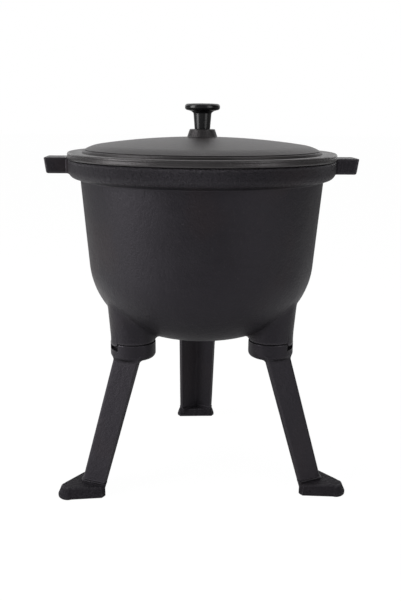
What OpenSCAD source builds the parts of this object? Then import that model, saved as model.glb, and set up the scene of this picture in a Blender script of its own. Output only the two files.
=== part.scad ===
// Three-legged cast-iron cauldron: pot with two solid tab handles, domed lid with a
// screwed-on knob, and three cast legs that are bolted under the pot from below.
// Millimetres. Origin on the pot's axis at floor level, +Z up, handles along X,
// one leg straight back along +Y.

/* [Pot] */
// Height of the flat rim, where the lid rests, above the floor
rim_height = 348; // [320:1:380]
// Height of the pot from its rim to the lowest point of its outside
pot_height = 192.4; // [180:0.1:210]
// Thickness of the bowl's iron
wall = 5; // [4:0.5:7]
// Outside radius of the bowl's wall, carried up to the rim
wall_radius = 130.3; // [124:0.1:134]
// Slope of the wall, in degrees from upright
wall_draft = 4.7; // [3:0.1:6]
// Outside radius of the round between wall and bottom
knuckle_radius = 82.3; // [70:0.5:90]
// Outside radius of the shallow bottom
crown_radius = 226.4; // [210:1:280]

/* [Rim band and handles] */
// Outside radius of the thick band round the rim
band_radius = 141; // [138:0.5:144]
// Height of the band, down to where its underside meets the wall
band_height = 20.4; // [17:0.1:26]
// Slope of the band's underside, in degrees from level
band_slope = 12; // [5:1:30]
// Radius of the band's round lower corner
band_corner = 6.5; // [4:0.5:9]
// Radius of the broken edges of rim and lid
edge_radius = 1.5; // [0.8:0.1:2]
// Distance from the axis to the tip of a handle, at its top face
handle_reach = 165.2; // [158:0.1:172]
// Width of a handle
handle_width = 34; // [26:1:44]
// Thickness of a handle
handle_thickness = 16.8; // [12:0.1:19]
// How far a handle's rough top stands above the rim's ground face
handle_rise = 1.9; // [0.5:0.1:2.5]
// Gap between the lid's edge and the step up to a handle's top
seat_gap = 0.5; // [0.4:0.1:1.5]
// Slope of a handle's end face, in degrees from upright
handle_draft = 8; // [0:0.5:12]

/* [Lugs] */
// Distance from the pot's axis to the axis of each lug
lug_circle = 84.9; // [80:0.5:90]
// Radius of a lug at its flat lower face
lug_radius = 23.3; // [21:0.1:23.8]
// Height of a lug's lower face above the lowest point of the pot
lug_rise = 4.7; // [2.5:0.1:8]
// Height of a lug, from its lower face up to where the bowl has taken it in
lug_height = 48; // [44:1:52]
// Slope of a lug's side, in degrees from upright
lug_draft = 4.5; // [2:0.5:6]
// Width of the tongue that keeps a leg from turning
tongue_width = 14; // [10:0.5:16]
// Length of the tongue below the lug's face
tongue_drop = 3; // [2:0.2:4]
// Thickness of the tongue, measured in from the side of the leg's head
tongue_thickness = 5; // [4:0.5:6]

/* [Legs] */
// Radius of the round head of a leg
head_radius = 24; // [24:0.1:26]
// Height of the head
head_height = 17.8; // [16:0.1:20]
// Thickness of the head's top plate, which the bolt clamps
head_plate = 7; // [5:0.5:8]
// Radius of the recess under the head plate
recess_radius = 15; // [13:0.5:16]
// Radius of the rounded lower edge of the head
head_corner = 5; // [1:0.5:6]
// Gap between tongue and notch, at each side
notch_side_gap = 0.8; // [0.4:0.1:1.5]
// Depth of the notch below the head's top face
notch_depth = 7.5; // [5:0.5:10]
// Lean of the stem, in degrees from upright
stem_lean = 16.8; // [14:0.1:19]
// How far in from the head's side the stem's ridge starts
ridge_inset = 0.6; // [0.4:0.1:2]
// Width of the stem across its two wings, at the floor
stem_width = 40.2; // [34:0.2:44]
// How many times wider the stem is under the head than at the floor
stem_taper = 1.11; // [1:0.01:1.15]
// Slope of each wing back from the ridge, in degrees
wing_angle = 35; // [30:1:40]
// Thickness of each wing
wing_thickness = 6; // [5:0.1:8]

/* [Feet] */
// Height of the foot at its toe
foot_toe_height = 12.4; // [10:0.2:15]
// Height of the foot at its heel
foot_heel_height = 11.4; // [8:0.2:13]
// Distance from the stem's ridge back to the heel, at the floor
heel_reach = 20.3; // [18:0.1:25]
// Distance from the stem's ridge forward to the toe, at the floor
toe_reach = 23.3; // [18:0.1:28]
// Width of the foot across the heel
heel_width = 42.6; // [38:0.2:46]
// Greatest width of the foot
foot_width = 48.6; // [44:0.2:52]
// Distance from the heel to where the foot is widest
widest_reach = 5.4; // [3:0.1:10]
// Width of the toe before it rounds off
toe_width = 21.5; // [18:0.5:28]
// Height of the sole's upright edge
sole_edge = 3.4; // [2:0.2:5]
// How far the foot's sides draw in from the sole to the top
foot_draft = 2.6; // [1:0.2:4]
// How far the toe draws in from the sole to the top
toe_draft = 4.6; // [2:0.2:6]
// Height of the thicker base of the stem above the floor
stem_base_height = 15.4; // [14:0.2:18]
// How far the stem's base stands proud of its wings
stem_base_step = 1; // [0.4:0.1:2]

/* [Lid] */
// Outside radius of the lid
lid_radius = 142; // [139:0.5:145]
// Height of the lid's flange at its edge
flange_edge = 7.6; // [6.4:0.1:9]
// Radius of the flange's round upper edge
flange_round = 2.6; // [1.5:0.1:3]
// Height of the lid's flange at the foot of the step, a little lower than its edge
flange_inner = 6.6; // [5.5:0.1:7.2]
// Height of the upright foot of the step between flange and dome
step_foot = 0.8; // [0.4:0.1:1.5]
// Radius of the foot of that step
step_radius = 126.2; // [125.4:0.2:129]
// Radius where the dome begins
dome_radius = 123.4; // [120:0.2:124.4]
// Radius up to which the dome is nearly flat
dome_flat_radius = 109.2; // [106:0.1:114]
// Curvature radius of the nearly flat middle
dome_crown = 760; // [600:10:1000]
// Curvature radius of the dome's shoulder
dome_shoulder = 40; // [30:1:60]
// Height of the dome's middle above the rim
dome_height = 22.9; // [21.5:0.1:25]
// How far the step's top lies below the foot of the dome
step_drop = 0.9; // [0.4:0.1:1.5]
// Thickness of the lid's iron
lid_wall = 5; // [4:0.5:6]
// Depth of the ring that centres the lid in the pot's mouth
ring_depth = 8; // [5:0.5:12]
// Thickness of the centring ring
ring_thickness = 4; // [3:0.5:5]
// Gap all round between the centring ring and the pot
ring_gap = 2.5; // [1.5:0.1:4]

/* [Knob and its boss] */
// Radius of the boss where it leaves the dome
boss_base_radius = 16.1; // [13:0.1:18]
// Radius of the boss under the knob
boss_top_radius = 13.3; // [11:0.1:14]
// Height of the boss
boss_height = 8; // [6:0.2:12]
// Height of the whole knob
knob_height = 26.4; // [24:0.1:32]
// Radius of the knob's cap
knob_radius = 18.4; // [15:0.1:21]
// Height of the knob's cap, with its flared underside
cap_height = 10.4; // [9:0.1:12]
// Radius of the cap's round edge
cap_edge = 3.2; // [2:0.1:4]
// How far the cap's top rises from its edge to the middle
cap_crown = 0.7; // [0.3:0.1:2]
// Height of the flare between the knob's stem and the cap's edge
flare_height = 2.2; // [1.5:0.1:5]
// Radius of the flare at its top
flare_radius = 11.6; // [10.5:0.1:15]
// Radius of the knob's stem at its foot
knob_foot_radius = 8.15; // [6.5:0.1:9]
// Radius of the knob's stem half way up
knob_waist_radius = 8.8; // [7:0.1:9.5]
// Radius of the knob's stem under the cap
knob_neck_radius = 9.7; // [8:0.1:10.5]
// Depth of the threaded hole in the knob
knob_hole_depth = 16; // [12:0.5:20]
// Radius of the flat pad under the lid that takes the washer
pad_radius = 12; // [11:0.5:14]
// Height of that pad below the dome
pad_height = 1; // [0.8:0.1:2]

/* [Fasteners] */
// Thread radius of the leg bolts, M10
leg_bolt_radius = 5; // [4:0.5:6]
// Length of a leg bolt under its head
leg_bolt_length = 25; // [24:1:26]
// Width across flats of a leg bolt's head
leg_bolt_flats = 16; // [15:1:17]
// Height of a leg bolt's head
leg_bolt_head = 6.4; // [5:0.2:7]
// Outside radius of a leg's flat washer
leg_washer_radius = 10; // [9.5:0.5:12]
// Thickness of a leg's flat washer
leg_washer_thickness = 2; // [1.5:0.1:2.5]
// Outside radius of a leg's spring washer
spring_washer_radius = 9; // [8.5:0.1:9.2]
// Thickness of a leg's spring washer
spring_washer_thickness = 2.6; // [2:0.1:3]
// Width of the slit in a spring washer
spring_washer_slit = 1; // [0.6:0.1:1.5]
// Thread radius of the knob's screw, M8
knob_screw_radius = 4; // [3:0.5:4.5]
// Length of the knob's screw under its head
knob_screw_length = 30; // [28:1:31]
// Radius of the round head of the knob's screw
screw_head_radius = 6.5; // [6:0.5:8]
// Height of the round head of the knob's screw
screw_head_height = 5; // [4:0.2:6]
// Width of the slot in the knob's screw
screw_slot = 1.6; // [1.2:0.1:2]
// Outside radius of the knob's washer
knob_washer_radius = 10; // [8:0.5:11]
// Thickness of the knob's washer
knob_washer_thickness = 1.6; // [1:0.1:2]
// Radial gap between a thread and its tapped hole
thread_gap = 0.05; // [0.02:0.01:0.1]
// Radial gap between a bolt and a plain hole that it passes through
hole_gap = 0.5; // [0.3:0.1:0.8]

/* [Hidden] */

// Directions of the three legs, in degrees from +X
REAR = 90;
LEFT = 210;
RIGHT = 330;
LEG_DIRECTIONS = [REAR, LEFT, RIGHT];

// Overlap that makes pieces of one casting join, and cutters pass through
lap = 1;
round_faces = 96;
arc_steps = 10;
edge_steps = 4;

// Colours as the photograph shows them
IRON = [0.20, 0.20, 0.21];
LID_IRON = [0.30, 0.30, 0.31];
KNOB_BLACK = [0.07, 0.07, 0.08];
ZINC = [0.70, 0.71, 0.72];

// Heights above the floor
pot_bottom = rim_height - pot_height;
lug_base_height = pot_bottom + lug_rise;
head_base = lug_base_height - head_height;
plate_base = lug_base_height - head_plate;
dome_top = rim_height + dome_height;
boss_top = dome_top + boss_height;
pad_face = dome_top - lid_wall - pad_height;
knob_washer_base = pad_face - knob_washer_thickness;
leg_washer_base = plate_base - leg_washer_thickness;
spring_washer_base = leg_washer_base - spring_washer_thickness;

mouth_radius = wall_radius - wall / cos(wall_draft);
ring_outer = mouth_radius - ring_gap;

// Distance of the stem's ridge from the pot's axis, at a height above the floor
function ridge_at(height) = lug_circle + head_radius - ridge_inset + (head_base - height) * tan(stem_lean);

// Distances of a foot's heel, toe and widest place from the pot's axis
foot_heel = ridge_at(0) - heel_reach;
foot_toe = ridge_at(0) + toe_reach;
foot_widest = foot_heel + widest_reach;

// Directions in an outline that is turned about the axis, in degrees
DOWN = 0;
OUT = 90;
UP = 180;

// Points on an arc about centre, from one of these directions to another
function arc(centre, radius, from, to, steps = arc_steps) = [
    for (i = [0 : steps])
        let (a = from + (to - from) * i / steps)
            centre + radius * [sin(a), -cos(a)]
];

// Centre of the knuckle: as far from the wall as its radius, and touching the bottom's arc
crown_centre = [0, crown_radius];
knuckle_line_top = [
    wall_radius - knuckle_radius * cos(wall_draft),
    pot_height + knuckle_radius * sin(wall_draft)
];
knuckle_line = [-sin(wall_draft), -cos(wall_draft)];
from_crown = knuckle_line_top - crown_centre;
along = knuckle_line * from_crown;
inside = from_crown * from_crown - pow(crown_radius - knuckle_radius, 2);
knuckle_centre = knuckle_line_top + knuckle_line * (sqrt(along * along - inside) - along);
bottom_angle = asin(knuckle_centre[0] / (crown_radius - knuckle_radius));

// Bowl outline from the axis out to the wall, drawn in by a skin of iron
function bowl_outline(skin) = concat(
    arc(crown_centre, crown_radius - skin, DOWN, bottom_angle),
    arc(knuckle_centre, knuckle_radius - skin, bottom_angle, OUT - wall_draft)
);

// Radius of the wall's outside at a height above the pot's own bottom
function wall_at(height) = wall_radius - (pot_height - height) * tan(wall_draft);

module pot_blank() {
    band_base = pot_height - band_height;
    band_inner = wall_at(band_base);
    corner_start = band_radius - band_corner * (1 - sin(band_slope));
    corner_base = band_base + (corner_start - band_inner) * tan(band_slope);
    translate([0, 0, pot_bottom])
        rotate_extrude($fn = round_faces)
            polygon(concat(
                bowl_outline(0),
                [[band_inner, band_base]],
                arc(
                    [band_radius - band_corner, corner_base + band_corner * cos(band_slope)],
                    band_corner, band_slope, OUT
                ),
                arc([band_radius - edge_radius, pot_height - edge_radius], edge_radius, OUT, UP, edge_steps),
                [[0, pot_height]]
            ));
}

module pot_hollow() {
    translate([0, 0, pot_bottom])
        rotate_extrude($fn = round_faces)
            polygon(concat(
                bowl_outline(wall),
                [
                    [mouth_radius, pot_height],
                    [mouth_radius + lap * tan(wall_draft), pot_height + lap],
                    [0, pot_height + lap]
                ]
            ));
}

// A solid tab whose end face slopes in towards its underside. The rim's face is ground
// lower than the handle's top, out to just past the lid's edge
module handle() {
    handle_top = rim_height + handle_rise;
    handle_base = handle_top - handle_thickness;
    seat_edge = lid_radius + seat_gap;
    translate([0, handle_width / 2, 0])
        rotate([90, 0, 0])
            linear_extrude(handle_width)
                polygon([
                    [wall_radius, handle_base],
                    [handle_reach - handle_thickness * tan(handle_draft), handle_base],
                    [handle_reach, handle_top],
                    [seat_edge, handle_top],
                    [seat_edge, rim_height],
                    [wall_radius, rim_height]
                ]);
}

module lug() {
    top_radius = lug_radius + lug_height * tan(lug_draft);
    translate([lug_circle, 0, lug_base_height])
        cylinder(h = lug_height, r1 = lug_radius, r2 = top_radius, $fn = round_faces);
}

// The tongue hangs from the outer edge of the lug and sits in the leg's notch, level with
// the head's side. It runs up the lug until the flaring side has taken it in
module tongue() {
    buried = (head_radius - lug_radius) / tan(lug_draft) + lap;
    height = tongue_drop + buried;
    translate([lug_circle, 0, lug_base_height - tongue_drop])
        intersection() {
            cylinder(h = height, r = head_radius, $fn = round_faces);
            translate([head_radius - tongue_thickness, -tongue_width / 2, 0])
                cube([tongue_thickness + lap, tongue_width, height]);
        }
}

module lug_hole() {
    clamped = head_plate + leg_washer_thickness + spring_washer_thickness;
    lug_hole_depth = leg_bolt_length - clamped + lap;
    translate([lug_circle, 0, lug_base_height - lap])
        cylinder(h = lug_hole_depth + lap, r = leg_bolt_radius + thread_gap, $fn = round_faces);
}

module pot() {
    color(IRON)
        difference() {
            union() {
                pot_blank();
                for (direction = LEG_DIRECTIONS) rotate(direction) {
                    lug();
                    tongue();
                }
                for (side = [0, 180]) rotate(side) handle();
            }
            pot_hollow();
            for (direction = LEG_DIRECTIONS) rotate(direction) lug_hole();
        }
}

// Shoulder arc of the dome, which carries on smoothly from its nearly flat middle
crown_angle = asin(dome_flat_radius / dome_crown);
shoulder_angle = asin(sin(crown_angle) + (dome_radius - dome_flat_radius) / dome_shoulder);
dome_centre = [0, dome_height - dome_crown];
shoulder_centre = dome_centre + (dome_crown - dome_shoulder) * [sin(crown_angle), cos(crown_angle)];

// Dome outline from the edge in to the axis, drawn in by a skin of iron
function dome_outline(skin) = concat(
    arc(shoulder_centre, dome_shoulder - skin, UP - shoulder_angle, UP - crown_angle),
    arc(dome_centre, dome_crown - skin, UP - crown_angle, UP, edge_steps)
);

module lid_blank() {
    dome_foot = dome_outline(0)[0];
    step_top = dome_foot[1] - step_drop;
    step_middle = (step_radius + dome_radius) / 2;
    translate([0, 0, rim_height])
        rotate_extrude($fn = round_faces)
            polygon(concat(
                [[0, 0]],
                arc([lid_radius - edge_radius, edge_radius], edge_radius, DOWN, OUT, edge_steps),
                arc([lid_radius - flange_round, flange_edge - flange_round], flange_round, OUT, UP, edge_steps),
                [
                    [step_radius, flange_inner],
                    [step_radius, flange_inner + step_foot],
                    [step_middle, step_top]
                ],
                dome_outline(0)
            ));
}

module lid_hollow() {
    ring_inner = ring_outer - ring_thickness;
    under_dome = [for (p = dome_outline(lid_wall)) if (p[0] < ring_inner) p];
    translate([0, 0, rim_height])
        rotate_extrude($fn = round_faces)
            polygon(concat(
                [
                    [0, -ring_depth - lap],
                    [ring_inner, -ring_depth - lap],
                    [ring_inner, under_dome[0][1] - (ring_inner - under_dome[0][0]) * tan(shoulder_angle)]
                ],
                under_dome
            ));
}

module centring_ring() {
    translate([0, 0, rim_height - ring_depth])
        cylinder(h = ring_depth + lap, r = ring_outer, $fn = round_faces);
}

module lid() {
    color(LID_IRON)
        difference() {
            union() {
                lid_blank();
                translate([0, 0, dome_top - lap])
                    cylinder(h = lap, r = boss_base_radius, $fn = round_faces);
                translate([0, 0, dome_top])
                    cylinder(h = boss_height, r1 = boss_base_radius, r2 = boss_top_radius, $fn = round_faces);
                centring_ring();
            }
            difference() {
                lid_hollow();
                translate([0, 0, pad_face])
                    cylinder(h = pad_height + lap, r = pad_radius, $fn = round_faces);
            }
            translate([0, 0, pad_face - lap])
                cylinder(
                    h = boss_top - pad_face + 2 * lap,
                    r = knob_screw_radius + hole_gap,
                    $fn = round_faces
                );
        }
}

// A mushroom knob: a slim waisted stem that flares into a flat rounded cap
module knob() {
    neck = knob_height - cap_height;
    edge_centre = [knob_radius - cap_edge, knob_height - cap_crown - cap_edge];
    color(KNOB_BLACK)
        translate([0, 0, boss_top])
            difference() {
                rotate_extrude($fn = round_faces)
                    polygon(concat(
                        [
                            [0, 0],
                            [knob_foot_radius, 0],
                            [knob_waist_radius, neck / 2],
                            [knob_neck_radius, neck],
                            [flare_radius, neck + flare_height]
                        ],
                        arc(edge_centre, cap_edge, (DOWN + OUT) / 2, UP),
                        [[knob_radius / 2, knob_height - cap_crown / 4], [0, knob_height]]
                    ));
                translate([0, 0, -lap])
                    cylinder(h = knob_hole_depth + lap, r = knob_screw_radius + thread_gap, $fn = round_faces);
            }
}

module knob_screw() {
    color(ZINC)
        difference() {
            union() {
                translate([0, 0, knob_washer_base - screw_head_height])
                    cylinder(h = screw_head_height, r = screw_head_radius, $fn = round_faces);
                translate([0, 0, knob_washer_base - lap])
                    cylinder(h = knob_screw_length + lap, r = knob_screw_radius, $fn = round_faces);
            }
            translate([-screw_head_radius - lap, -screw_slot / 2, knob_washer_base - screw_head_height - lap])
                cube([2 * (screw_head_radius + lap), screw_slot, lap + screw_head_height / 2]);
        }
}

module knob_washer() {
    color(ZINC)
        washer(knob_washer_base, knob_washer_thickness, knob_washer_radius, knob_screw_radius + hole_gap);
}

module washer(base, thickness, outer, inner) {
    translate([0, 0, base])
        difference() {
            cylinder(h = thickness, r = outer, $fn = round_faces);
            translate([0, 0, -lap])
                cylinder(h = thickness + 2 * lap, r = inner, $fn = round_faces);
        }
}

// Section of the stem: two wings that meet in a ridge, which points away from the pot
function wing_section(step = 0) =
    let (
        half = stem_width / 2 + step,
        depth = half * tan(wing_angle),
        normal = wing_thickness * [cos(wing_angle), sin(wing_angle)]
    ) [
        [step, 0],
        [step - depth, half],
        [step - depth - normal[0], half - normal[1]],
        [-wing_thickness / cos(wing_angle), 0],
        [step - depth - normal[0], normal[1] - half],
        [step - depth, -half]
    ];

module stem() {
    stem_top = head_base + head_corner;
    stem_length = (stem_top + lap) / cos(stem_lean);
    intersection() {
        translate([ridge_at(-lap), 0, -lap])
            rotate([0, -stem_lean, 0])
                linear_extrude(stem_length, scale = stem_taper)
                    polygon(wing_section());
        translate([0, -stem_width, foot_heel_height / 2])
            cube([2 * foot_toe, 2 * stem_width, stem_top - foot_heel_height / 2]);
    }
}

// The thicker base of the stem, standing on the foot
module stem_base() {
    base_floor = foot_heel_height / 2;
    intersection() {
        translate([ridge_at(-lap), 0, -lap])
            rotate([0, -stem_lean, 0])
                linear_extrude(2 * stem_base_height)
                    polygon(wing_section(stem_base_step));
        translate([0, -stem_width, base_floor])
            cube([2 * foot_toe, 2 * stem_width, stem_base_height - base_floor]);
    }
}

// Plan of the foot, with its sides drawn in by side and its round toe by tip
function foot_plan(side, tip) =
    let (
        toe_length = toe_width * 0.4,
        half_toe = toe_width / 2 - side
    ) [
        [foot_heel, -heel_width / 2 + side],
        [foot_widest, -foot_width / 2 + side],
        for (a = [-90 : 30 : 90])
            [foot_toe - tip - toe_length * (1 - cos(a)), half_toe * sin(a)],
        [foot_widest, foot_width / 2 - side],
        [foot_heel, heel_width / 2 - side]
    ];

// The foot's top rises a little from heel to toe, and its sides draw in towards the top
module foot() {
    rise = atan((foot_toe_height - foot_heel_height) / (foot_toe - foot_heel));
    intersection() {
        hull() {
            linear_extrude(sole_edge)
                polygon(foot_plan(0, 0));
            linear_extrude(foot_toe_height + lap)
                polygon(foot_plan(foot_draft, toe_draft));
        }
        translate([foot_heel, 0, foot_heel_height])
            rotate([0, -rise, 0])
                translate([-foot_toe / 2, -foot_width, -2 * foot_toe_height])
                    cube([foot_toe, 2 * foot_width, 2 * foot_toe_height]);
    }
}

// The round head of a leg: a cup that hides the bolt's head, with a notch for the tongue
module leg_head() {
    notch_width = tongue_width + 2 * notch_side_gap;
    translate([lug_circle, 0, head_base])
        difference() {
            rotate_extrude($fn = round_faces)
                polygon(concat(
                    [[0, 0]],
                    arc([head_radius - head_corner, head_corner], head_corner, DOWN, OUT, edge_steps),
                    [[head_radius, head_height], [0, head_height]]
                ));
            translate([
                head_radius - tongue_thickness - notch_side_gap,
                -notch_width / 2,
                head_height - notch_depth
            ])
                cube([tongue_thickness + notch_side_gap + lap, notch_width, notch_depth + lap]);
        }
}

module leg_hollow() {
    translate([lug_circle, 0, 0]) {
        translate([0, 0, head_base - 2 * head_height])
            cylinder(h = 3 * head_height - head_plate, r = recess_radius, $fn = round_faces);
        translate([0, 0, head_base])
            cylinder(h = head_height + lap, r = leg_bolt_radius + hole_gap, $fn = round_faces);
    }
}

module leg(direction) {
    color(IRON)
        rotate(direction)
            difference() {
                union() {
                    leg_head();
                    stem();
                    stem_base();
                    foot();
                }
                leg_hollow();
            }
}

module leg_bolt(direction) {
    color(ZINC)
        rotate(direction)
            translate([lug_circle, 0, spring_washer_base]) {
                translate([0, 0, -leg_bolt_head])
                    cylinder(h = leg_bolt_head, r = leg_bolt_flats / 2 / cos(30), $fn = 6);
                translate([0, 0, -lap])
                    cylinder(h = leg_bolt_length + lap, r = leg_bolt_radius, $fn = round_faces);
            }
}

module leg_washer(direction) {
    color(ZINC)
        rotate(direction)
            translate([lug_circle, 0, 0])
                washer(leg_washer_base, leg_washer_thickness, leg_washer_radius, leg_bolt_radius + hole_gap);
}

// The spring washer is a flat ring with a slit, as it is when the bolt is tight
module spring_washer(direction) {
    color(ZINC)
        rotate(direction)
            translate([lug_circle, 0, 0])
                difference() {
                    washer(
                        spring_washer_base,
                        spring_washer_thickness,
                        spring_washer_radius,
                        leg_bolt_radius + hole_gap / 2
                    );
                    translate([0, -spring_washer_slit / 2, spring_washer_base - lap])
                        cube([
                            spring_washer_radius + lap,
                            spring_washer_slit,
                            spring_washer_thickness + 2 * lap
                        ]);
                }
}

pot();
lid();
knob();
knob_screw();
knob_washer();
leg(REAR);  // leg_rear
leg(LEFT);  // leg_left
leg(RIGHT);  // leg_right
leg_bolt(REAR);  // leg_bolt_rear
leg_bolt(LEFT);  // leg_bolt_left
leg_bolt(RIGHT);  // leg_bolt_right
leg_washer(REAR);  // leg_washer_rear
leg_washer(LEFT);  // leg_washer_left
leg_washer(RIGHT);  // leg_washer_right
spring_washer(REAR);  // spring_washer_rear
spring_washer(LEFT);  // spring_washer_left
spring_washer(RIGHT);  // spring_washer_right
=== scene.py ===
import math

import bmesh
import bpy
import numpy as np
from mathutils import Matrix, Vector


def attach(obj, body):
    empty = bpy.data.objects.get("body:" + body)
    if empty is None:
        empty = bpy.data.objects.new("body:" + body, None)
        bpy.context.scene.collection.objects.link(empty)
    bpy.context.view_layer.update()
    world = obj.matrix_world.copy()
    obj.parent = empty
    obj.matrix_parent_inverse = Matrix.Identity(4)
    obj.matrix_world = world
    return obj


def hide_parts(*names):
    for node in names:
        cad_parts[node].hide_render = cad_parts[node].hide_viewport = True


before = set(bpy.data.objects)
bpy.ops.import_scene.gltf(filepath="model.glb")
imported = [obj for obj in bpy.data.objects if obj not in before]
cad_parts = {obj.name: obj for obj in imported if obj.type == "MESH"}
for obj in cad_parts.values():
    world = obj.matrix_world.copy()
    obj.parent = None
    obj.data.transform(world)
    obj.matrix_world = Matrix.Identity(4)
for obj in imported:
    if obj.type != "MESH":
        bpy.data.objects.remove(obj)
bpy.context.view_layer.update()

# The castings are worked out in millimetres, like the part's source, and made in metres
MM = 0.001

# Pot
RIM = 348.0
POT_HEIGHT = 192.4
POT_BOTTOM = RIM - POT_HEIGHT
WALL = 5.0
WALL_RADIUS = 130.3
WALL_DRAFT = math.radians(4.7)
KNUCKLE_RADIUS = 82.3
CROWN_RADIUS = 226.4
BAND_RADIUS = 141.0
BAND_HEIGHT = 20.4
BAND_BASE = RIM - BAND_HEIGHT
BAND_SLOPE = math.radians(12)
BAND_CORNER = 6.5
BAND_INNER = WALL_RADIUS - BAND_HEIGHT * math.tan(WALL_DRAFT)
HANDLE_TOP = RIM + 1.9
HANDLE_BASE = HANDLE_TOP - 16.8
HANDLE_REACH = 165.2
HANDLE_HALF_WIDTH = 17.0
HANDLE_DRAFT = math.radians(8)
SEAT_RADIUS = 142.5

# Lugs and legs
LUG_CIRCLE = 84.9
LUG_RADIUS = 23.3
LUG_BASE = POT_BOTTOM + 4.7
LUG_HEIGHT = 48.0
LUG_DRAFT = math.radians(4.5)
TONGUE_HALF_WIDTH = 7.0
TONGUE_DROP = 3.0
TONGUE_DEPTH = 5.0
HEAD_RADIUS = 24.0
HEAD_BASE = LUG_BASE - 17.8
HEAD_PLATE_BASE = LUG_BASE - 7.0
RECESS_RADIUS = 15.0
HEAD_CORNER = 5.0
NOTCH_GAP = 0.8
NOTCH_BASE = LUG_BASE - 7.5
STEM_LEAN = math.radians(16.8)
STEM_HALF_WIDTH = 20.1
STEM_TAPER = 1.11
STEM_BASE_HEIGHT = 15.4
WING_ANGLE = math.radians(35)
WING_THICKNESS = 6.0
RIDGE_FOOT = LUG_CIRCLE + HEAD_RADIUS - 0.6 + HEAD_BASE * math.tan(STEM_LEAN)
HEEL = RIDGE_FOOT - 20.3
WIDEST = HEEL + 5.4
TOE = RIDGE_FOOT + 23.3
HEEL_HEIGHT = 11.4
TOE_HEIGHT = 12.4
HEEL_HALF_WIDTH = 21.3
FOOT_HALF_WIDTH = 24.3
TOE_HALF_WIDTH = 10.75
TOE_LENGTH = 8.6
SOLE_EDGE = 3.4
FOOT_DRAFT = 2.6
TOE_DRAFT = 4.6
LEG_ANGLES = {"rear": 90, "left": 210, "right": 330}

# Lid and knob
LID_RADIUS = 142.0
FLANGE_EDGE = 7.6
FLANGE_ROUND = 2.6
FLANGE_INNER = 6.6
STEP_FOOT = 0.8
STEP_RADIUS = 126.2
DOME_RADIUS = 123.4
DOME_FLAT_RADIUS = 109.2
DOME_CROWN = 760.0
DOME_SHOULDER = 40.0
DOME_HEIGHT = 22.9
STEP_DROP = 0.9
LID_WALL = 5.0
# A shallow line runs round the flange's outer face, this high above the rim
EDGE_LINE = 4.6
EDGE_LINE_DEPTH = 0.4
RING_OUTER = 122.78
RING_INNER = 118.78
RING_DEPTH = 8.0
PAD_RADIUS = 12.0
PAD_DEPTH = 6.0
LID_BORE = 4.5
BOSS_BASE_RADIUS = 16.1
BOSS_TOP_RADIUS = 13.3
BOSS_HEIGHT = 8.0
KNOB_BASE = RIM + DOME_HEIGHT + BOSS_HEIGHT
KNOB_HEIGHT = 26.4
KNOB_RADIUS = 18.4
KNOB_HOLE_RADIUS = 4.05
KNOB_HOLE_DEPTH = 16.0

# Fasteners
LEG_BOLT_RADIUS = 5.0
LEG_BOLT_FLATS = 16.0
LEG_BOLT_HEAD = 6.4
LEG_BOLT_LENGTH = 25.0
SPRING_BASE = HEAD_PLATE_BASE - 4.6
SCREW_RADIUS = 4.0
SCREW_LENGTH = 30.0
SCREW_HEAD_RADIUS = 6.5
SCREW_HEAD_HEIGHT = 5.0
SCREW_BASE = RIM + DOME_HEIGHT - PAD_DEPTH - 1.6

# Half the width of a material zone's soft end
SOFT_END = 1.0

# Camera, as measured from the photograph
CAMERA_PLACE = (-34.3, -825.6, 399.2)
CAMERA_HEADING = (0.0410, 0.99916)
CAMERA_PITCH = math.radians(14.03)
CAMERA_ROLL = math.radians(0.48)
LENS = 45.87


# Distance functions, negative inside. Two shapes join with a fillet or meet in a round edge
def join(a, b, radius):
    u = np.maximum(radius - a, 0)
    v = np.maximum(radius - b, 0)
    return np.maximum(radius, np.minimum(a, b)) - np.hypot(u, v)


def meet(a, b, radius):
    return -join(-a, -b, radius)


def bowl_distance(rho, z, skin):
    """Distance to the bowl's outside, drawn in by a skin of iron: crown, knuckle and wall."""
    radius = KNUCKLE_RADIUS
    top = np.array([WALL_RADIUS - radius * math.cos(WALL_DRAFT), POT_HEIGHT + radius * math.sin(WALL_DRAFT)])
    down = np.array([-math.sin(WALL_DRAFT), -math.cos(WALL_DRAFT)])
    reach = top - np.array([0, CROWN_RADIUS])
    along = down @ reach
    span = reach @ reach - (CROWN_RADIUS - radius) ** 2
    centre = top + down * (math.sqrt(along * along - span) - along)
    turn = math.asin(centre[0] / (CROWN_RADIUS - radius))
    height = z - POT_BOTTOM
    u = rho - centre[0]
    v = height - centre[1]
    angle = np.arctan2(u, -v)
    crown = np.hypot(rho, height - CROWN_RADIUS) - CROWN_RADIUS
    knuckle = np.hypot(u, v) - radius
    wall = u * math.cos(WALL_DRAFT) - v * math.sin(WALL_DRAFT) - radius
    distance = np.where(angle < turn, crown, np.where(angle > math.pi / 2 - WALL_DRAFT, wall, knuckle))
    return distance + skin


def handle_distance(x, y, z):
    end = (np.abs(x) - HANDLE_REACH) * math.cos(HANDLE_DRAFT) - (z - HANDLE_TOP) * math.sin(HANDLE_DRAFT)
    body = meet(np.abs(y) - HANDLE_HALF_WIDTH, end, 2.2)
    body = meet(body, z - HANDLE_TOP, 1.3)
    body = meet(body, HANDLE_BASE - z, 1.6)
    return np.maximum(body, WALL_RADIUS - np.abs(x))


def by_nearest_leg(x, y):
    """Coordinates along and across the direction of the nearest leg."""
    best = None
    for angle in LEG_ANGLES.values():
        c, s = math.cos(math.radians(angle)), math.sin(math.radians(angle))
        along = x * c + y * s
        across = y * c - x * s
        if best is None:
            best = [along, across]
        else:
            nearer = along > best[0]
            best = [np.where(nearer, along, best[0]), np.where(nearer, across, best[1])]
    return best


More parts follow.
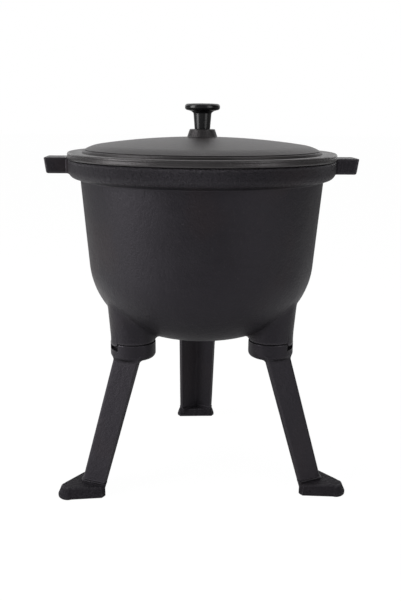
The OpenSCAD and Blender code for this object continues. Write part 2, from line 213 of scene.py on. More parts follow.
def pot_distance(x, y, z):
    rho = np.hypot(x, y)
    along, across = by_nearest_leg(x, y)
    from_lug = np.hypot(along - LUG_CIRCLE, across)
    side = (from_lug - LUG_RADIUS - (z - LUG_BASE) * math.tan(LUG_DRAFT)) * math.cos(LUG_DRAFT)
    lug = meet(np.maximum(side, z - LUG_BASE - LUG_HEIGHT), LUG_BASE - z, 0.8)
    tongue = meet(np.abs(across) - TONGUE_HALF_WIDTH, LUG_BASE - TONGUE_DROP - z, 2.4)
    tongue = meet(tongue, LUG_CIRCLE + HEAD_RADIUS - TONGUE_DEPTH - along, 0.6)
    tongue = meet(tongue, from_lug - HEAD_RADIUS, 0.7)
    tongue = np.maximum(tongue, z - LUG_BASE - 12)
    lug = join(lug, tongue, 0.5)
    fillet = np.interp(z, [POT_BOTTOM + 20, POT_BOTTOM + 48], [6, 1.2])
    underside = (BAND_BASE - z) * math.cos(BAND_SLOPE) + (rho - BAND_INNER) * math.sin(BAND_SLOPE)
    band = meet(rho - BAND_RADIUS, underside, BAND_CORNER)
    body = join(bowl_distance(rho, z, 0), band, 1.2)
    body = meet(body, z - RIM, 2.2)
    body = join(body, handle_distance(x, y, z), 2.2)
    body = meet(body, -np.maximum(rho - SEAT_RADIUS, RIM - z), 0.4)
    body = join(body, lug, fillet)
    body = meet(body, -bowl_distance(rho, z, WALL), 1.6)
    bore = meet(from_lug - LEG_BOLT_RADIUS - 0.05, z - LUG_BASE - 14.4, 0.6)
    return meet(body, -bore, 0.5)


def stem_distance(along, across, z, step):
    """The angle section of a stem, its ridge rounded, widening upward, and standing proud by a step."""
    grown = 1 + (STEM_TAPER - 1) * z / (HEAD_BASE + HEAD_CORNER)
    forward = ((along - RIDGE_FOOT) * math.cos(STEM_LEAN) + z * math.sin(STEM_LEAN)) / grown - step
    side = np.sqrt((across / grown) ** 2 + 1.2 ** 2) - 1.2
    half = STEM_HALF_WIDTH + step
    face = forward * math.cos(WING_ANGLE) + side * math.sin(WING_ANGLE)
    end = side * math.cos(WING_ANGLE) - forward * math.sin(WING_ANGLE) - half / math.cos(WING_ANGLE)
    wing = meet(face, end, 1.3)
    return meet(wing, -WING_THICKNESS - face, 1.3) * grown


def outline_distance(u, v, outline):
    """Signed distance to a closed outline of straight pieces."""
    near = np.full(u.shape, 1e12)
    inside = np.zeros(u.shape, bool)
    for (au, av), (bu, bv) in zip(outline, outline[1:] + outline[:1]):
        eu, ev = bu - au, bv - av
        wu, wv = u - au, v - av
        t = np.clip((wu * eu + wv * ev) / (eu * eu + ev * ev), 0, 1)
        near = np.minimum(near, (wu - t * eu) ** 2 + (wv - t * ev) ** 2)
        crosses = (av > v) != (bv > v)
        inside ^= crosses & (wu * ev < eu * wv if ev > 0 else wu * ev > eu * wv)
    return np.where(inside, -1, 1) * np.sqrt(near)


def foot_outline():
    toe = [
        (TOE - TOE_LENGTH * (1 - math.cos(a)), TOE_HALF_WIDTH * math.sin(a))
        for a in np.radians(np.arange(-90, 91, 6))
    ]
    sides = [(WIDEST, FOOT_HALF_WIDTH), (HEEL, HEEL_HALF_WIDTH)]
    return [(HEEL, -HEEL_HALF_WIDTH), (WIDEST, -FOOT_HALF_WIDTH)] + toe + sides


def foot_distance(along, across, z):
    rise = math.atan((TOE_HEIGHT - HEEL_HEIGHT) / (TOE - HEEL))
    top = (z - HEEL_HEIGHT) * math.cos(rise) - (along - HEEL) * math.sin(rise)
    draft = np.interp(along, [HEEL, WIDEST, TOE - 12, TOE], [0, FOOT_DRAFT, FOOT_DRAFT, TOE_DRAFT])
    drawn_in = draft * np.maximum(z - SOLE_EDGE, 0) / (TOE_HEIGHT - SOLE_EDGE)
    side = outline_distance(along, across, foot_outline()) + drawn_in
    return meet(meet(side, top, 1.6), -z, 1.2)


def leg_distance(along, across, z):
    from_head = np.hypot(along - LUG_CIRCLE, across)
    head = meet(from_head - HEAD_RADIUS, HEAD_BASE - z, HEAD_CORNER)
    head = meet(head, z - LUG_BASE, 1.1)
    notch = np.maximum(np.abs(across) - TONGUE_HALF_WIDTH - NOTCH_GAP, NOTCH_BASE - z)
    notch = np.maximum(notch, LUG_CIRCLE + HEAD_RADIUS - TONGUE_DEPTH - NOTCH_GAP - along)
    head = meet(head, -notch, 0.8)
    stem = meet(stem_distance(along, across, z, 0), z - HEAD_BASE - HEAD_CORNER, 0.5)
    undercut = np.interp(z, [HEEL_HEIGHT + 0.6, STEM_BASE_HEIGHT - 1.4], [-1.2, 1.5])
    base = meet(stem_distance(along, across, z, undercut), z - STEM_BASE_HEIGHT, 0.5)
    foot = foot_distance(along, across, z)
    stem = np.maximum(stem, HEEL_HEIGHT / 2 - z)
    base = np.maximum(base, HEEL_HEIGHT / 2 - z)
    leg = join(head, stem, 2.5)
    leg = join(leg, join(base, foot, 1.2), 0.6)
    recess = meet(from_head - RECESS_RADIUS, z - HEAD_PLATE_BASE, 1.0)
    leg = meet(leg, -recess, 0.9)
    return meet(leg, 5.5 - from_head, 0.5)


def along_and_across(distance, angle):
    """The distance function of a leg, turned to its place round the pot."""
    c, s = math.cos(math.radians(angle)), math.sin(math.radians(angle))
    return lambda x, y, z: distance(x * c + y * s, y * c - x * s, z)


# Slow unevenness of a casting's skin: a sum of waves in fixed directions
WAVES = 40
draws = np.random.default_rng(7)
wave_vectors = draws.normal(size=(WAVES, 3))
wave_vectors /= np.linalg.norm(wave_vectors, axis=1)[:, None]
wave_lengths = np.geomspace(9, 60, WAVES)
wave_vectors *= (2 * math.pi / wave_lengths)[:, None]
wave_phases = draws.uniform(0, 2 * math.pi, WAVES)
wave_heights = wave_lengths / wave_lengths.sum()


def uneven(points, normals, depth):
    """Points moved along their normals by the casting's unevenness, at most depth inward, and the new normals."""
    turns = points @ wave_vectors.T + wave_phases
    height = (np.sin(turns) @ wave_heights - 1) * depth / 2
    slope = (np.cos(turns) * wave_heights) @ wave_vectors * depth / 2
    slope -= (slope * normals).sum(1)[:, None] * normals
    tilted = normals - slope
    return points + normals * height[:, None], tilted / np.linalg.norm(tilted, axis=1)[:, None]


def add_piece(name, mesh, body, material, nodes):
    piece = bpy.data.objects.new(name, mesh)
    bpy.context.collection.objects.link(piece)
    mesh.materials.clear()
    mesh.materials.append(material)
    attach(piece, body)
    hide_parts(*nodes)
    return piece


def set_normals(mesh, normals):
    mesh.shade_smooth()
    mesh.normals_split_custom_set_from_vertices([tuple(n) for n in normals])


def gradient(distance, p, step=0.02):
    """Value and unit gradient of a distance function at points."""
    value = distance(*p.T)
    slopes = []
    for axis in range(3):
        shift = np.zeros(3)
        shift[axis] = step
        slopes.append(distance(*(p + shift).T) - distance(*(p - shift).T))
    slopes = np.stack(slopes, 1) / (2 * step)
    size = np.maximum(np.linalg.norm(slopes, axis=1), 0.3)
    return value / size, slopes / size[:, None]


def evened(points, links):
    """Points moved halfway to the middle of their neighbours, which takes out the steps of the voxels."""
    ends = np.concatenate([links[:, 0], links[:, 1]])
    others = np.concatenate([links[:, 1], links[:, 0]])
    count = np.bincount(ends, minlength=len(points))
    middles = [np.bincount(ends, points[others, axis], len(points)) / count for axis in range(3)]
    return (points + np.stack(middles, 1)) / 2


def cast_mesh(node, distance, cell, depth):
    """A fine, even copy of a CAD solid, with every point laid on the casting's own rounded surface."""
    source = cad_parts[node]
    copy = bpy.data.objects.new("casting_source", source.data.copy())
    bpy.context.collection.objects.link(copy)
    remesh = copy.modifiers.new("Remesh", "REMESH")
    remesh.mode = "VOXEL"
    remesh.voxel_size = cell * MM
    mesh = bpy.data.meshes.new_from_object(copy.evaluated_get(bpy.context.evaluated_depsgraph_get()))
    bpy.data.objects.remove(copy)
    points = np.empty(len(mesh.vertices) * 3)
    mesh.vertices.foreach_get("co", points)
    points = points.reshape(-1, 3) / MM
    links = np.empty(len(mesh.edges) * 2, np.int32)
    mesh.edges.foreach_get("vertices", links)
    links = links.reshape(-1, 2)
    for turn in range(6):
        if turn in (1, 2, 3):
            points = evened(points, links)
        value, normals = gradient(distance, points)
        points -= normals * np.clip(value, -3, 3)[:, None]
    value, normals = gradient(distance, points)
    points, normals = uneven(points, normals, depth)
    mesh.vertices.foreach_set("co", (points * MM).ravel())
    mesh.update()
    set_normals(mesh, normals)
    return mesh


def rounded(corners, closed=True):
    """Outline points with their normals, each corner (r, z, radius) replaced by an arc. The outline runs so that the outside is on its right."""
    points = []
    count = len(corners)
    for i, (r, z, radius) in enumerate(corners):
        here = np.array([r, z], float)
        before = np.array(corners[i - 1][:2], float)
        after = np.array(corners[(i + 1) % count][:2], float)
        into = (here - before) / np.linalg.norm(here - before)
        out = (after - here) / np.linalg.norm(after - here)
        turn = math.atan2(into[0] * out[1] - into[1] * out[0], into @ out)
        cut = abs(radius * math.tan(turn / 2))
        centre = here - into * cut + math.copysign(radius, turn) * np.array([-into[1], into[0]])
        steps = max(2, math.ceil(abs(math.degrees(turn)) / 15)) if radius else 1
        for k in range(steps + 1):
            bend = turn * k / steps
            c, s = math.cos(bend), math.sin(bend)
            heading = np.array([into[0] * c - into[1] * s, into[0] * s + into[1] * c])
            normal = np.array([heading[1], -heading[0]])
            place = centre + math.copysign(radius, turn) * normal if radius else here
            points.append((*place, *normal))
    return points


def refine(points, longest):
    """The same outline with more points on its long straight pieces."""
    fine = []
    for a, b in zip(points, points[1:] + points[:1]):
        steps = max(1, math.ceil(math.hypot(b[0] - a[0], b[1] - a[1]) / longest))
        for k in range(steps):
            t = k / steps
            fine.append(tuple((1 - t) * p + t * q for p, q in zip(a, b)))
    return fine


def lathe_mesh(name, outline, segments, depth, centre=(0, 0)):
    """A ring-shaped solid turned from a closed outline of (r, z, normal r, normal z)."""
    outline = np.array([p for p, q in zip(outline, outline[1:] + outline[:1]) if math.dist(p[:2], q[:2]) > 0.02])
    angles = np.arange(segments) * 2 * math.pi / segments
    c, s = np.cos(angles)[:, None], np.sin(angles)[:, None]
    r, z, nr, nz = outline.T
    points = np.stack([c * r, s * r, np.broadcast_to(z, (segments, len(r)))], 2).reshape(-1, 3)
    normals = np.stack([c * nr, s * nr, np.broadcast_to(nz, (segments, len(r)))], 2).reshape(-1, 3)
    normals /= np.linalg.norm(normals, axis=1)[:, None]
    points[:, 0] += centre[0]
    points[:, 1] += centre[1]
    if depth:
        points, normals = uneven(points, normals, depth)
    n = len(r)
    faces = []
    for i in range(segments):
        a, b = i * n, (i + 1) % segments * n
        for k in range(n):
            m = (k + 1) % n
            faces.append((a + k, b + k, b + m, a + m))
    mesh = bpy.data.meshes.new(name)
    mesh.from_pydata((points * MM).tolist(), [], faces)
    mesh.validate()
    set_normals(mesh, normals)
    return mesh


# Materials
def node(tree, kind, **sockets):
    made = tree.nodes.new(kind)
    for key, value in sockets.items():
        made.inputs[key.replace("_", " ")].default_value = value
    return made


def noise(tree, place, size, detail=4.0, roughness=0.55):
    """Noise whose features are about size metres across."""
    made = node(tree, "ShaderNodeTexNoise", Scale=1 / size, Detail=detail, Roughness=roughness)
    tree.links.new(place, made.inputs["Vector"])
    return made.outputs["Fac"]


def ranged(tree, value, low, high, to_low, to_high):
    made = node(tree, "ShaderNodeMapRange", From_Min=low, From_Max=high, To_Min=to_low, To_Max=to_high)
    tree.links.new(value, made.inputs["Value"])
    return made.outputs["Result"]


def reckoned(tree, operation, first, second):
    """Result of a sum on sockets or plain numbers."""
    made = tree.nodes.new("ShaderNodeMath")
    made.operation = operation
    for socket, value in zip(made.inputs, (first, second)):
        if isinstance(value, (int, float)):
            socket.default_value = value
        else:
            tree.links.new(value, socket)
    return made.outputs[0]


def backdrop_seen(tree, mirrored=1):
    """One where a surface is seen as the picture's white backdrop: directly, through glass or mirrored."""
    path = tree.nodes.new("ShaderNodeLightPath")
    glossy = reckoned(tree, "MULTIPLY", path.outputs["Is Glossy Ray"], mirrored)
    seen = reckoned(tree, "ADD", path.outputs["Is Camera Ray"], path.outputs["Is Transmission Ray"])
    return reckoned(tree, "MINIMUM", reckoned(tree, "ADD", seen, glossy), 1)


def blended(tree, amount, first, second):
    """Colour or value sockets mixed by amount."""
    made = tree.nodes.new("ShaderNodeMix")
    made.data_type = "RGBA"
    tree.links.new(amount, made.inputs["Factor"])
    for socket, value in ((made.inputs[6], first), (made.inputs[7], second)):
        if isinstance(value, tuple):
            socket.default_value = (*value, 1)
        else:
            tree.links.new(value, socket)
    return made.outputs[2]


def bumped(tree, height, distance, strength=1.0, below=None):
    made = node(tree, "ShaderNodeBump", Strength=strength, Distance=distance)
    tree.links.new(height, made.inputs["Height"])
    if below:
        tree.links.new(below, made.inputs["Normal"])
    return made.outputs["Normal"]


def new_material(name):
    material = bpy.data.materials.new(name)
    material.use_nodes = True
    tree = material.node_tree
    tree.nodes.clear()
    shader = tree.nodes.new("ShaderNodeBsdfPrincipled")
    output = tree.nodes.new("ShaderNodeOutputMaterial")
    tree.links.new(shader.outputs["BSDF"], output.inputs["Surface"])
    place = tree.nodes.new("ShaderNodeTexCoord").outputs["Object"]
    return material, tree, shader, place


def zone_mask(tree, place, low, high, reach):
    """One between two heights and within a reach of the axis, in millimetres, with soft ends."""
    split = tree.nodes.new("ShaderNodeSeparateXYZ")
    tree.links.new(place, split.inputs["Vector"])
    squares = [reckoned(tree, "POWER", split.outputs[axis], 2) for axis in "XY"]
    from_axis = reckoned(tree, "SQRT", reckoned(tree, "ADD", *squares), 0)
    within = ranged(tree, from_axis, (reach - SOFT_END) * MM, (reach + SOFT_END) * MM, 1, 0)
    above = ranged(tree, split.outputs["Z"], (low - SOFT_END) * MM, (low + SOFT_END) * MM, 0, 1)
    below = ranged(tree, split.outputs["Z"], (high - SOFT_END) * MM, (high + SOFT_END) * MM, 1, 0)
    return reckoned(tree, "MULTIPLY", within, reckoned(tree, "MULTIPLY", above, below))


def cast_iron(name, dark, light, brown, worn, tint, roughness, gloss, grain_depth, rugged=None, polished_and_highlit=None, duller=0):
    """Blackened sand-cast iron: sand grain, blotches, a brown bloom and worn edges.

    A rugged zone is coarser. A smoothed zone is worn smooth in patches, and its colour there is lightened towards
    the worn colour, partly wear and partly a painted highlight. Each zone is two heights and a reach.
    """
    material, tree, shader, place = new_material(name)
    blotches = noise(tree, place, 0.03, detail=5)
    bloom = noise(tree, place, 0.07, detail=2)
    grain = noise(tree, place, 0.0022, detail=4, roughness=0.65)
    skin = noise(tree, place, 0.007, detail=3)
    colour = blended(tree, ranged(tree, blotches, 0.35, 0.65, 0, 1), dark, light)
    colour = blended(tree, ranged(tree, bloom, 0.52, 0.68, 0, 0.7), colour, brown)
    colour = blended(tree, ranged(tree, grain, 0.60, 0.72, 0, 0.4), colour, worn)
    edges = tree.nodes.new("ShaderNodeNewGeometry").outputs["Pointiness"]
    colour = blended(tree, ranged(tree, edges, 0.506, 0.53, 0, 0.6), colour, worn)
    matt = ranged(tree, blotches, 0.3, 0.7, roughness - 0.05, roughness + 0.06)
    coarse = bumped(tree, skin, 0.0008, 0.5)
    if rugged:
        pits = noise(tree, place, 0.004, detail=5, roughness=0.7)
        zone = zone_mask(tree, place, *rugged)
        coarse = bumped(tree, reckoned(tree, "MULTIPLY", pits, zone), 0.004, 0.95, coarse)
        matt = reckoned(tree, "ADD", matt, reckoned(tree, "MULTIPLY", zone, duller))
    if polished_and_highlit:
        patches = ranged(tree, noise(tree, place, 0.03, detail=5), 0.45, 0.55, 0.55, 1)
        rubbed_and_highlit = reckoned(tree, "MULTIPLY", patches, zone_mask(tree, place, *polished_and_highlit))
        matt = ranged(tree, rubbed_and_highlit, 0, 1, roughness, roughness - 0.2)
        # Lighter colour in these patches is partly bare worn iron and partly a painted highlight on the lid
        # flange's outer face
        colour = blended(tree, ranged(tree, rubbed_and_highlit, 0, 1, 0, 0.7), colour, worn)
    matt = reckoned(tree, "ADD", matt, ranged(tree, edges, 0.506, 0.53, 0, -0.18 - duller))
    tree.links.new(colour, shader.inputs["Base Color"])
    tree.links.new(matt, shader.inputs["Roughness"])
    tree.links.new(bumped(tree, grain, grain_depth, 0.7, coarse), shader.inputs["Normal"])
    shader.inputs["Specular IOR Level"].default_value = gloss
    shader.inputs["Specular Tint"].default_value = (*tint, 1)
    return material


def gloss_black(name):
    """Glossy black enamel over iron, a little uneven like dipped paint."""
    material, tree, shader, place = new_material(name)
    cloud = noise(tree, place, 0.012, detail=3)
    tree.links.new(
        blended(tree, ranged(tree, cloud, 0.35, 0.65, 0, 1), (0.006, 0.006, 0.007), (0.011, 0.011, 0.012)),
        shader.inputs["Base Color"],
    )
    tree.links.new(ranged(tree, cloud, 0.3, 0.7, 0.22, 0.30), shader.inputs["Roughness"])
    peel = noise(tree, place, 0.0035, detail=2)
    tree.links.new(bumped(tree, peel, 0.0002, 0.25), shader.inputs["Normal"])
    return material


def zinc(name):
    """Bright zinc plate, slightly mottled."""
    material, tree, shader, place = new_material(name)
    spangle = noise(tree, place, 0.0025, detail=4)
    tree.links.new(
        blended(tree, ranged(tree, spangle, 0.35, 0.65, 0, 1), (0.42, 0.43, 0.45), (0.60, 0.61, 0.62)),
        shader.inputs["Base Color"],
    )
    shader.inputs["Metallic"].default_value = 1
    tree.links.new(ranged(tree, spangle, 0.3, 0.7, 0.30, 0.45), shader.inputs["Roughness"])
    tree.links.new(bumped(tree, spangle, 0.0001, 0.3), shader.inputs["Normal"])
    return material


PURPLE_GREY = (0.94, 0.87, 1.0)
WARM_GREY = (1.0, 0.945, 0.965)
pot_iron = cast_iron(
    "pot_iron", (0.0102, 0.0093, 0.0112), (0.0152, 0.0141, 0.0167), (0.018, 0.0132, 0.0137), (0.05, 0.047, 0.052),
    PURPLE_GREY, 0.44, 0.345, 0.0007, rugged=(BAND_BASE + 2, RIM + 2, BAND_RADIUS + 1.5),
)
# The lid flange's outer face is smoothed in patches and lightened there, partly wear and partly a painted
# highlight
lid_iron = cast_iron(
    "lid_iron", (0.018, 0.0165, 0.0175), (0.026, 0.0245, 0.0255), (0.028, 0.0235, 0.0235), (0.06, 0.057, 0.058),
    WARM_GREY, 0.45, 0.49, 0.0005, polished_and_highlit=(RIM, RIM + FLANGE_EDGE - 1, LID_RADIUS + 2),
)
leg_iron = cast_iron(
    "leg_iron", (0.0130, 0.0118, 0.0143), (0.0190, 0.0176, 0.0208), (0.020, 0.0160, 0.0175), (0.05, 0.047, 0.052),
    PURPLE_GREY, 0.48, 0.31, 0.0003, rugged=(-5, STEM_BASE_HEIGHT - 1, 1000), duller=0.2,
)
knob_enamel = gloss_black("knob_enamel")
zinc_steel = zinc("zinc_steel")


# The pot
add_piece(
    "pot_casting", cast_mesh("pot", pot_distance, 1.5, 0.25), "pot", pot_iron, ["pot"]
)

# The legs
for side, angle in LEG_ANGLES.items():
    mesh = cast_mesh("leg_" + side, along_and_across(leg_distance, angle), 0.6, 0.2)
    add_piece("leg_casting_" + side, mesh, "pot", leg_iron, ["leg_" + side])


# The lid, turned round its axis
def dome_corners(skin, reach):
    """Points of the dome from the axis side outward, drawn in by a skin of iron, with their normals."""
    flat_angle = math.asin(DOME_FLAT_RADIUS / DOME_CROWN)
    crown_z = DOME_HEIGHT - DOME_CROWN
    shoulder_r = (DOME_CROWN - DOME_SHOULDER) * math.sin(flat_angle)
    shoulder_z = crown_z + (DOME_CROWN - DOME_SHOULDER) * math.cos(flat_angle)
    points = []
    for r in reach:
        if r < (DOME_CROWN - skin) * math.sin(flat_angle):
            a = math.asin(r / (DOME_CROWN - skin))
            z = crown_z + (DOME_CROWN - skin) * math.cos(a)
        else:
            a = math.asin((r - shoulder_r) / (DOME_SHOULDER - skin))
            z = shoulder_z + (DOME_SHOULDER - skin) * math.cos(a)
        points.append((r, RIM + z, math.sin(a), math.cos(a)))
    return points


def lid_outline():
    dome_foot = dome_corners(0, [DOME_RADIUS])[0][1]
    step_edge = STEP_RADIUS - 0.7
    top = RIM + DOME_HEIGHT
    boss_top = top + BOSS_HEIGHT
    pad = top - PAD_DEPTH
    under = dome_corners(LID_WALL, np.linspace(PAD_RADIUS + 1.5, RING_INNER - 2.5, 30))
    over = dome_corners(0, np.linspace(BOSS_BASE_RADIUS + 1.6, DOME_RADIUS - 0.6, 44))
    ring = rounded([
        (under[-1][0], under[-1][1], 0),
        (RING_INNER, under[-1][1] - 0.8, 2.2),
        (RING_INNER, RIM - RING_DEPTH, 1.0),
        (RING_OUTER, RIM - RING_DEPTH, 1.2),
        (RING_OUTER, RIM, 0.8),
        (LID_RADIUS, RIM, 2.0),
        (LID_RADIUS - 0.3, RIM + EDGE_LINE - 0.3, 0.3),
        (LID_RADIUS - 0.3 - EDGE_LINE_DEPTH, RIM + EDGE_LINE, 0.1),
        (LID_RADIUS - 0.35, RIM + EDGE_LINE + 0.45, 0.2),
        (LID_RADIUS - 0.55, RIM + FLANGE_EDGE, FLANGE_ROUND - 0.6),
        (STEP_RADIUS, RIM + FLANGE_INNER, 0.25),
        (STEP_RADIUS, RIM + FLANGE_INNER + STEP_FOOT, 0.4),
        (step_edge, dome_foot - STEP_DROP, 0.5),
        (DOME_RADIUS - 0.5, dome_foot - STEP_DROP + 0.2, 0.1),
        (DOME_RADIUS, dome_foot, 0.22),
        (over[-1][0], over[-1][1], 0),
    ])[2:-2]
    boss = rounded([
        (over[0][0], over[0][1], 0),
        (BOSS_BASE_RADIUS, over[0][1] + 0.02, 1.2),
        (BOSS_TOP_RADIUS, boss_top, 0.9),
        (LID_BORE, boss_top, 0.4),
        (LID_BORE, pad, 0.4),
        (PAD_RADIUS, pad, 0.4),
        (PAD_RADIUS + 0.2, under[0][1], 0.35),
        (under[0][0], under[0][1], 0),
    ])[2:-2]
    under = [(r, z, -nr, -nz) for r, z, nr, nz in under]
    return under + ring + over[::-1] + boss


lid_mesh = lathe_mesh("lid_casting", refine(lid_outline(), 3.0), 288, 0.2)
add_piece("lid_casting", lid_mesh, "lid", lid_iron, ["lid"])


# The knob, turned round its axis
def knob_outline():
    base = KNOB_BASE
    return rounded([
        (0.15, base + KNOB_HOLE_DEPTH, 0),
        (KNOB_HOLE_RADIUS, base + KNOB_HOLE_DEPTH - 1.5, 0.5),
        (KNOB_HOLE_RADIUS, base, 0.4),
        (8.15, base, 0.5),
        (8.8, base + 8.2, 30),
        (9.5, base + 16.4, 1.5),
        (12.0, base + 18.4, 2),
        (KNOB_RADIUS, base + 20.0, 2.8),
        (KNOB_RADIUS, base + KNOB_HEIGHT - 0.7, 3.0),
        (9, base + KNOB_HEIGHT - 0.15, 12),
        (0.15, base + KNOB_HEIGHT, 0),
    ])


knob_mesh = lathe_mesh("knob_black", refine(knob_outline(), 1.2), 128, 0)
add_piece("knob_black", knob_mesh, "lid", knob_enamel, ["knob"])

# The fasteners
def thread_depth(u, v, z, pitch):
    """Depth of a screw thread's groove, which winds upward round the axis."""
    return 0.3 * pitch * (1 + np.cos(2 * math.pi * z / pitch - np.arctan2(v, u)))


def bolt_distance(along, across, z):
    """A hex bolt, head down, with its corners turned off."""
    u = along - LUG_CIRCLE
    rho = np.hypot(u, across)
    lowest = SPRING_BASE - LEG_BOLT_HEAD
    sides = [np.abs(u * math.cos(a) + across * math.sin(a)) for a in np.radians([30, 90, 150])]
    head = np.maximum.reduce(sides) - LEG_BOLT_FLATS / 2
    turned = (rho - 0.47 * LEG_BOLT_FLATS) * 0.5 - (z - lowest) * 0.866
    head = meet(meet(head, turned, 0.2), meet(lowest - z, z - SPRING_BASE, 0.2), 0.2)
    shank = rho - LEG_BOLT_RADIUS + thread_depth(u, across, z, 1.5) * (z > SPRING_BASE + 2)
    shank = meet(shank, z - SPRING_BASE - LEG_BOLT_LENGTH, 0.8)
    return join(head, np.maximum(shank, lowest + 1 - z), 0.2)


def washer_distance(rho, z, base, thickness, outer, inner):
    ring = meet(rho - outer, inner - rho, 0.3)
    return meet(ring, meet(z - base - thickness, base - z, 0.3), 0.3)


def leg_washer_distance(along, across, z):
    rho = np.hypot(along - LUG_CIRCLE, across)
    return washer_distance(rho, z, SPRING_BASE + 2.6, 2.0, 10.0, 5.5)


def spring_washer_distance(along, across, z):
    rho = np.hypot(along - LUG_CIRCLE, across)
    slit = np.maximum(np.abs(across) - 0.5, LUG_CIRCLE - along)
    return meet(washer_distance(rho, z, SPRING_BASE, 2.6, 9.0, 5.25), -slit, 0.2)


def knob_washer_distance(x, y, z):
    return washer_distance(np.hypot(x, y), z, SCREW_BASE, 1.6, 10.0, 4.5)


def knob_screw_distance(x, y, z):
    """A screw with a slotted round head, head down."""
    rho = np.hypot(x, y)
    lowest = SCREW_BASE - SCREW_HEAD_HEIGHT
    head = meet(meet(rho - SCREW_HEAD_RADIUS, lowest - z, 3.4), z - SCREW_BASE, 0.2)
    slot = np.maximum(np.abs(y) - 0.8, z - lowest - SCREW_HEAD_HEIGHT / 2)
    head = meet(head, -slot, 0.2)
    shank = rho - SCREW_RADIUS + thread_depth(x, y, z, 1.25) * (z > SCREW_BASE + 6)
    shank = meet(shank, z - SCREW_BASE - SCREW_LENGTH, 0.7)
    return join(head, np.maximum(shank, SCREW_BASE - 1 - z), 0.2)


for side, angle in LEG_ANGLES.items():
    for kind, distance in (
        ("leg_bolt", bolt_distance),
        ("leg_washer", leg_washer_distance),
        ("spring_washer", spring_washer_distance),
    ):
        name = kind + "_" + side
        mesh = cast_mesh(name, along_and_across(distance, angle), 0.35, 0.02)
        add_piece("zinc_" + name, mesh, "pot", zinc_steel, [name])

for name, distance in (("knob_screw", knob_screw_distance), ("knob_washer", knob_washer_distance)):
    mesh = cast_mesh(name, distance, 0.35, 0.02)
    add_piece("zinc_" + name, mesh, "lid", zinc_steel, [name])


# Floor, studio and camera
def stage_floor():
    mesh = bpy.data.meshes.new("floor")
    shape = bmesh.new()
    bmesh.ops.create_circle(shape, cap_ends=True, segments=64, radius=12)
    shape.to_mesh(mesh)
    shape.free()
    floor = bpy.data.objects.new("floor", mesh)
    bpy.context.collection.objects.link(floor)
    floor.location.z = -0.0002
    material, tree, shader, place = new_material("floor_paper")
    shader.inputs["Base Color"].default_value = (0.62, 0.62, 0.62, 1)
    shader.inputs["Roughness"].default_value = 0.9
    glow = node(tree, "ShaderNodeEmission", Strength=1.09)
    mix = tree.nodes.new("ShaderNodeMixShader")
    from_middle = tree.nodes.new("ShaderNodeVectorMath")
    from_middle.operation = "LENGTH"
    tree.links.new(place, from_middle.inputs[0])
    # The floor's glow as the iron mirrors it is painted shade: darkened near the pot where its shadow falls,
    # faded with distance and dimmer towards +X
    shaded = ranged(tree, from_middle.outputs["Value"], 0.05, 0.5, 0.12, 1)
    far = ranged(tree, from_middle.outputs["Value"], 0.5, 1.4, 1, 0.25)
    split = tree.nodes.new("ShaderNodeSeparateXYZ")
    tree.links.new(place, split.inputs["Vector"])
    dim_side = ranged(tree, split.outputs["X"], -0.3, 0.5, 1, 0.55)
    mirrored = reckoned(tree, "MULTIPLY", reckoned(tree, "MULTIPLY", shaded, far), dim_side)
    tree.links.new(reckoned(tree, "MULTIPLY", backdrop_seen(tree, mirrored), 0.9), mix.inputs["Fac"])
    tree.links.new(shader.outputs["BSDF"], mix.inputs[1])
    tree.links.new(glow.outputs["Emission"], mix.inputs[2])
    output = next(n for n in tree.nodes if n.type == "OUTPUT_MATERIAL")
    tree.links.new(mix.outputs["Shader"], output.inputs["Surface"])
    mesh.materials.append(material)


# Brightness of the studio round the object, as the iron mirrors it, on each side
STUDIO = {"left": 0.03, "right": 0.03, "front": 0.02, "back": 0.3, "up": 0.06}
# A soft glow above and behind the camera
FRONT_GLOW = 0.28
FRONT_GLOW_FROM = (0.0, -0.82, 0.57)
SIDES = {"left": ("X", -1), "right": ("X", 1), "front": ("Y", -1), "back": ("Y", 1), "up": ("Z", 1)}


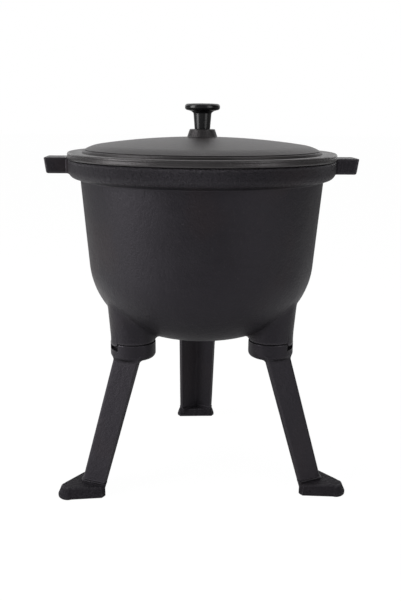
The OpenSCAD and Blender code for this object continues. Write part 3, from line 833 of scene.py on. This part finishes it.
def studio_world():
    """Plain white to the camera. To the object, a studio whose sides differ in brightness and blend smoothly."""
    world = bpy.data.worlds.new("studio")
    bpy.context.scene.world = world
    world.use_nodes = True
    tree = world.node_tree
    tree.nodes.clear()
    direction = tree.nodes.new("ShaderNodeTexCoord").outputs["Generated"]
    split = tree.nodes.new("ShaderNodeSeparateXYZ")
    tree.links.new(direction, split.inputs["Vector"])
    total = None
    for side, (axis, sign) in SIDES.items():
        facing = ranged(tree, split.outputs[axis], 0, sign, 0, 1)
        squared = reckoned(tree, "POWER", facing, 2)
        part = reckoned(tree, "MULTIPLY", squared, STUDIO[side])
        part.node.name = "part_" + side
        total = reckoned(tree, "ADD", total, part) if total else part
    facing = tree.nodes.new("ShaderNodeVectorMath")
    facing.operation = "DOT_PRODUCT"
    facing.inputs[1].default_value = FRONT_GLOW_FROM
    tree.links.new(direction, facing.inputs[0])
    lobe = reckoned(tree, "POWER", reckoned(tree, "MAXIMUM", facing.outputs["Value"], 0), 4)
    total = reckoned(tree, "ADD", total, reckoned(tree, "MULTIPLY", lobe, FRONT_GLOW))
    mirrored = node(tree, "ShaderNodeBackground", Strength=1.0)
    tree.links.new(total, mirrored.inputs["Color"])
    white = node(tree, "ShaderNodeBackground", Strength=1.0)
    white.inputs["Color"].default_value = (1, 1, 1, 1)
    mix = tree.nodes.new("ShaderNodeMixShader")
    behind = ranged(tree, reckoned(tree, "ADD", split.outputs["Y"], split.outputs["Z"]), 0.7, 0.95, 0, 1)
    tree.links.new(backdrop_seen(tree, behind), mix.inputs["Fac"])
    tree.links.new(mirrored.outputs["Background"], mix.inputs[1])
    tree.links.new(white.outputs["Background"], mix.inputs[2])
    output = tree.nodes.new("ShaderNodeOutputWorld")
    tree.links.new(mix.outputs["Shader"], output.inputs["Surface"])


def lamp(name, place, aim, width, height, watts):
    data = bpy.data.lights.new(name, "AREA")
    data.shape = "RECTANGLE"
    data.size = width
    data.size_y = height
    data.energy = watts
    made = bpy.data.objects.new(name, data)
    bpy.context.collection.objects.link(made)
    made.location = place
    made.rotation_euler = (Vector(aim) - Vector(place)).to_track_quat("-Z", "Y").to_euler()


def photo_camera():
    forward = Vector((*(c * math.cos(CAMERA_PITCH) for c in CAMERA_HEADING), -math.sin(CAMERA_PITCH)))
    level = forward.cross(Vector((0, 0, 1))).normalized()
    upright = level.cross(forward)
    right = level * math.cos(CAMERA_ROLL) + upright * math.sin(CAMERA_ROLL)
    up = right.cross(forward)
    data = bpy.data.cameras.new("photo_camera")
    data.lens = LENS
    data.sensor_width = 36
    camera = bpy.data.objects.new("photo_camera", data)
    bpy.context.collection.objects.link(camera)
    camera.matrix_world = Matrix.Translation(Vector(CAMERA_PLACE) * MM) @ Matrix((right, up, -forward)).transposed().to_4x4()
    bpy.context.scene.camera = camera


stage_floor()
studio_world()
lamp("softbox_left", (-1.52, -0.55, 0.75), (0, 0, 0.25), 0.9, 1.5, 20)
lamp("softbox_right", (1.2, -1.11, 0.75), (0, 0, 0.25), 0.8, 1.5, 7.5)
lamp("softbox_top", (0, 0.2, 1.9), (0, 0, 0.3), 1.6, 1.2, 4)
photo_camera()
bpy.context.scene.view_settings.view_transform = "Standard"
